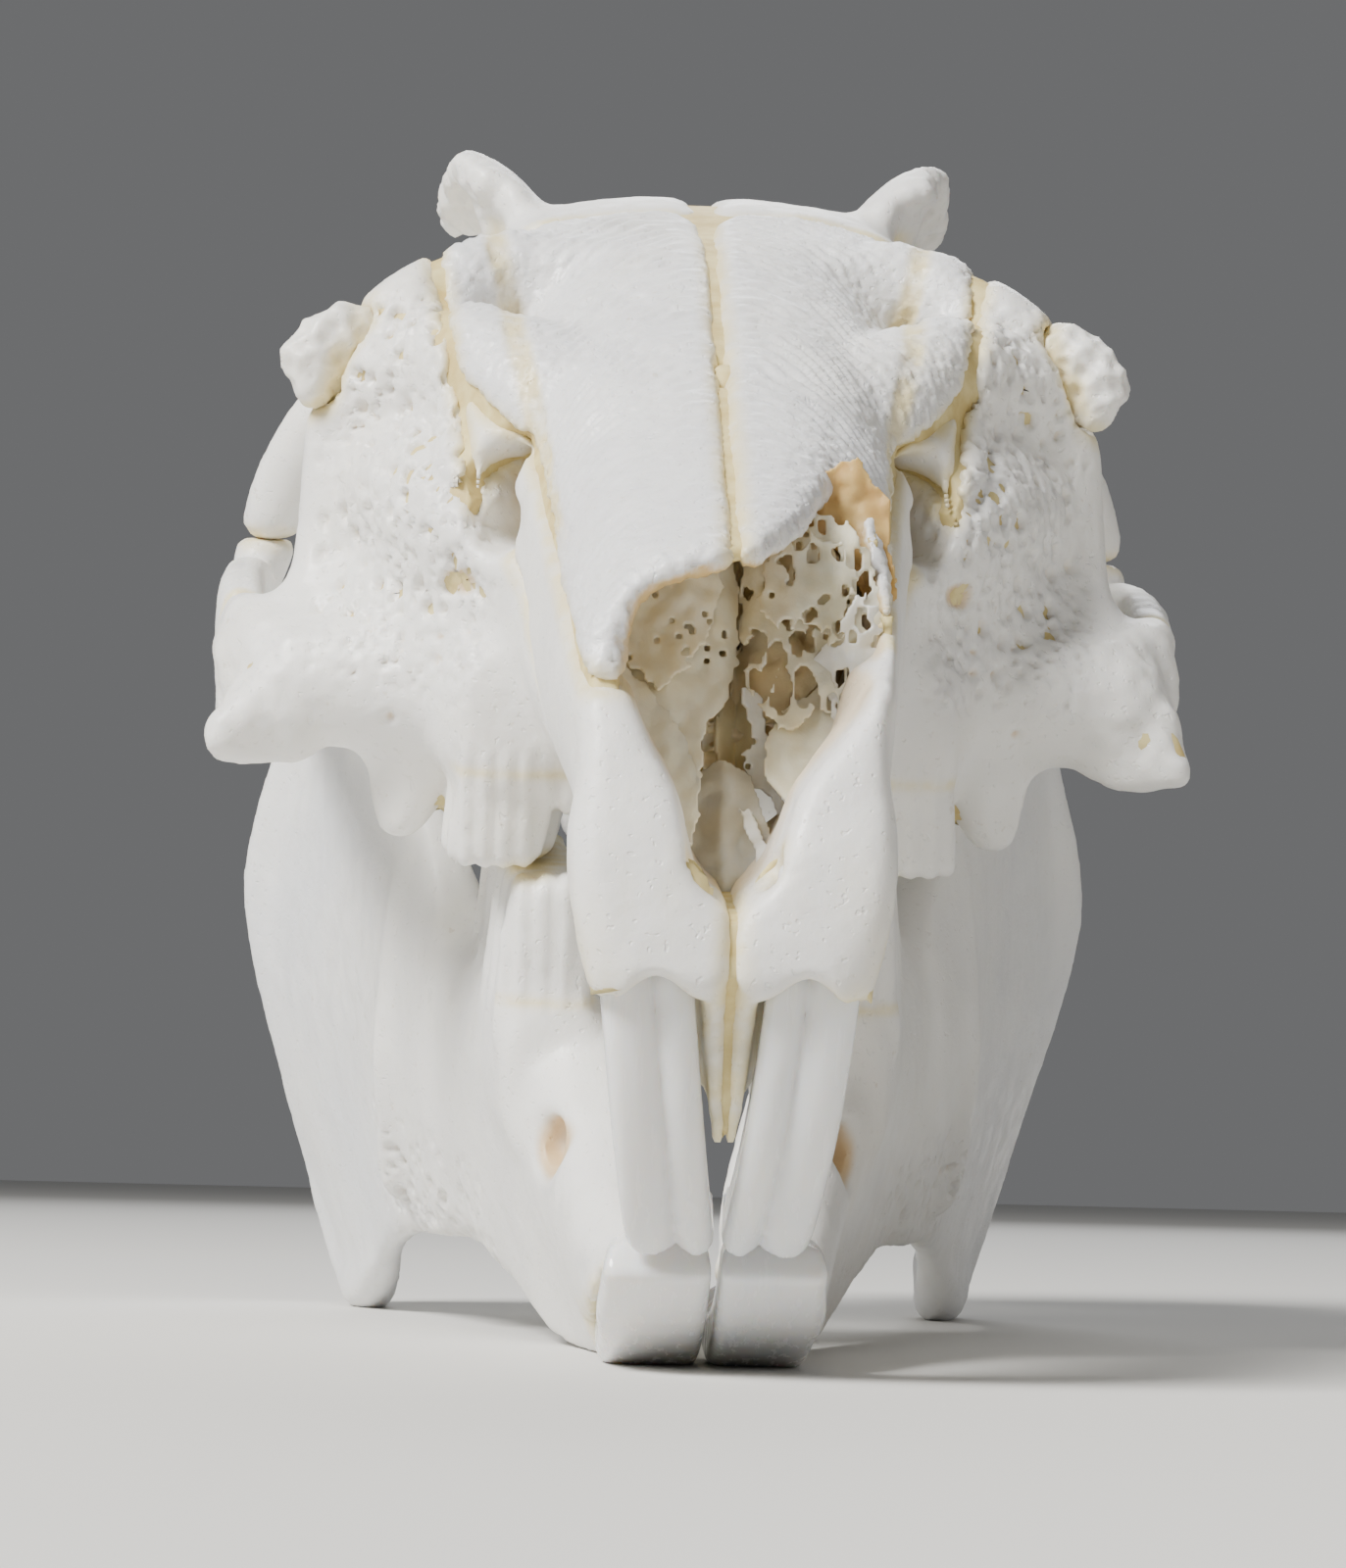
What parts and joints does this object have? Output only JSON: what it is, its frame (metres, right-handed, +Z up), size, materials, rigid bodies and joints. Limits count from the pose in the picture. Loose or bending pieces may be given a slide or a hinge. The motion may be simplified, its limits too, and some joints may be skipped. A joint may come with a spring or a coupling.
{
  "type": "rabbit skull",
  "caption": "Dry rabbit skull with its lower jaw in place, long grooved front teeth and broken nose tips, resting on the jaw.",
  "frame": {"origin": "centre of the bounding box, at the level of the flats that the jaw rests on", "axes": "+Z up, -Y the way the front teeth point, +X towards the animal's left"},
  "size_m": [0.0424, 0.087, 0.0525],
  "materials": {
    "bone": "matte",
    "spongy_bone": "matte",
    "enamel": "satin"
  },
  "bodies": {
    "root": {"nasal_left": "bone", "nasal_right": "bone", "premaxilla_left": "bone", "premaxilla_right": "bone", "maxilla_left": "bone", "maxilla_right": "bone", "lacrimal_left": "bone", "lacrimal_right": "bone", "zygomatic_left": "bone", "zygomatic_right": "bone", "frontal_left": "bone", "frontal_right": "bone", "braincase": "bone", "occipital": "bone", "tympanic_bulla_left": "bone", "tympanic_bulla_right": "bone", "vomer": "bone", "turbinals": "spongy_bone", "mandible_left": "bone", "mandible_right": "bone", "upper_incisor_left": "enamel", "upper_incisor_right": "enamel", "lower_incisor_left": "enamel", "lower_incisor_right": "enamel"}
  },
  "joints": []
}
